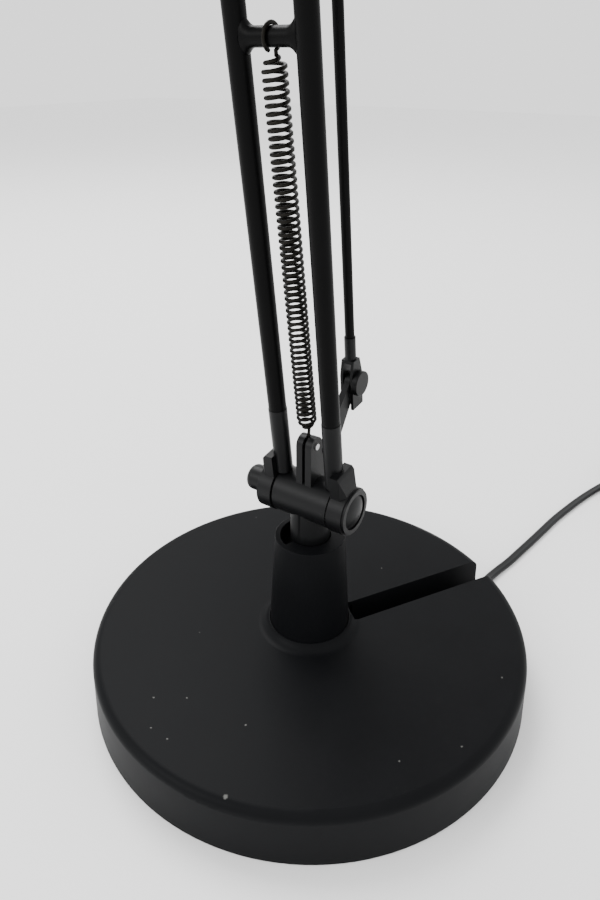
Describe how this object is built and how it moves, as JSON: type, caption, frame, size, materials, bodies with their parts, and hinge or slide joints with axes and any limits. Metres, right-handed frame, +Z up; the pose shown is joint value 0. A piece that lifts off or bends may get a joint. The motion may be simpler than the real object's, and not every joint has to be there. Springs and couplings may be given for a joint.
{
  "type": "architect desk lamp",
  "caption": "Balanced-arm desk lamp: heavy round base with a cord channel, turning knuckle, sprung twin-tube arms with link rods, tilting shade.",
  "frame": {"origin": "centre of the base's underside, on the surface it stands on", "axes": "+Z up, +X over the work, in the plane that the arms move in; the arm joints turn about Y"},
  "size_m": [0.5882, 0.2845, 0.736],
  "materials": {
    "base_paint": "fine-textured satin black paint",
    "cast_iron": "rough cast",
    "plate_steel": "zinc plated",
    "pad_foam": "matt foam",
    "nylon": "natural nylon",
    "black_plastic": "satin moulded black",
    "tube_paint": "satin black paint",
    "spring_steel": "oiled dark spring wire",
    "cord_pvc": "soft sheen black flex",
    "shade_paint": "satin black outside, white inside",
    "holder_white": "white thermoset",
    "bulb_opal": "opal globe",
    "pin_brass": "plated"
  },
  "bodies": {
    "base": {"base_cover": "base_paint", "base_weight": "cast_iron", "base_plate": "plate_steel", "base_pad": "pad_foam", "base_screws": "plate_steel", "hub_sleeve": "base_paint", "hub_bush": "nylon", "channel_lead": "cord_pvc", "cord_clamp": "black_plastic", "cord_tube": "cord_pvc", "cord_coil": "cord_pvc", "cord_tie": "black_plastic", "plug_body": "cord_pvc", "plug_pins": "pin_brass"},
    "knuckle": {"knuckle": "black_plastic", "knuckle_nut": "plate_steel", "knuckle_washer": "plate_steel", "lower_spring_pin": "plate_steel"},
    "lower_arm": {"lower_foot_lug_left": "black_plastic", "lower_foot_lug_right": "black_plastic", "lower_head_lugs": "black_plastic", "lower_tube_left": "tube_paint", "lower_tube_right": "tube_paint", "lower_crossbar": "tube_paint", "lower_spring": "spring_steel", "lower_arm_bolts": "plate_steel", "lower_arm_cap_nuts": "black_plastic", "lower_arm_dome_caps": "black_plastic", "lower_arm_washers": "nylon", "lower_arm_lead": "cord_pvc"},
    "lower_link": {"lower_link_rod": "tube_paint", "lower_link_forks": "black_plastic", "lower_link_pins": "black_plastic"},
    "elbow": {"elbow_bracket": "black_plastic", "upper_spring_pin": "plate_steel"},
    "upper_arm": {"upper_foot_lugs": "black_plastic", "upper_head_lugs": "black_plastic", "upper_tube_left": "tube_paint", "upper_tube_right": "tube_paint", "upper_crossbar": "tube_paint", "upper_spring": "spring_steel", "upper_arm_bolts": "plate_steel", "upper_arm_cap_nuts": "black_plastic", "upper_arm_dome_caps": "black_plastic", "upper_arm_washers": "nylon", "upper_arm_lead": "cord_pvc"},
    "upper_link": {"upper_link_rod": "tube_paint", "upper_link_forks": "black_plastic", "upper_link_pins": "black_plastic"},
    "head_mount": {"head_bracket": "black_plastic"},
    "head": {"head_knuckle": "black_plastic", "tilt_bolt": "plate_steel", "housing": "black_plastic", "shade": "shade_paint", "lampholder": "holder_white", "bulb": "bulb_opal", "switch_body": "black_plastic"},
    "knob": {"tilt_knob": "black_plastic"},
    "button": {"switch_button": "black_plastic"}
  },
  "joints": [
    {"name": "swivel", "type": "hinge", "parent": "base", "child": "knuckle", "pos_m": [0, 0, 0.083], "axis": [0, 0, 1], "range_deg": [-76, 76]},
    {"name": "lower_arm_tilt", "type": "hinge", "parent": "knuckle", "child": "lower_arm", "pos_m": [0, 0, 0.1047], "axis": [0, 1, 0], "range_deg": [-32, 29], "deforming": ["lower_spring"]},
    {"name": "lower_link_turn", "type": "hinge", "parent": "knuckle", "child": "lower_link", "pos_m": [0.0345, 0, 0.1507], "axis": [0, 1, 0], "range_deg": [-32, 29]},
    {"name": "elbow_turn", "type": "hinge", "parent": "lower_arm", "child": "elbow", "pos_m": [-0.05026, 0, 0.48136], "axis": [0, 1, 0], "range_deg": [-29, 32]},
    {"name": "upper_arm_tilt", "type": "hinge", "parent": "elbow", "child": "upper_arm", "pos_m": [-0.04426, 0, 0.54536], "axis": [0, -1, 0], "range_deg": [-40, 40], "deforming": ["upper_spring"]},
    {"name": "upper_link_turn", "type": "hinge", "parent": "elbow", "child": "upper_link", "pos_m": [-0.06426, 0, 0.59736], "axis": [0, -1, 0], "range_deg": [-40, 40]},
    {"name": "head_mount_turn", "type": "hinge", "parent": "upper_arm", "child": "head_mount", "pos_m": [0.31283, 0, 0.67533], "axis": [0, -1, 0], "range_deg": [-40, 40]},
    {"name": "head_tilt", "type": "hinge", "parent": "head_mount", "child": "head", "pos_m": [0.34683, 0, 0.66133], "axis": [0, -1, 0], "range_deg": [-35, 70]},
    {"name": "knob_turn", "type": "hinge", "parent": "head", "child": "knob", "pos_m": [0.34683, 0, 0.66133], "axis": [0, -1, 0], "range_deg": [-180, 180]},
    {"name": "button_press", "type": "slide", "parent": "head", "child": "button", "axis": [0, 0, -1], "range_m": [0, 0.0025], "stiffness_N_per_m": 400}
  ],
  "couplings": [
    {"joint": "lower_link_turn", "follows": "lower_arm_tilt", "ratio": 1},
    {"joint": "elbow_turn", "follows": "lower_arm_tilt", "ratio": -1},
    {"joint": "upper_link_turn", "follows": "upper_arm_tilt", "ratio": 1},
    {"joint": "head_mount_turn", "follows": "upper_arm_tilt", "ratio": -1}
  ]
}
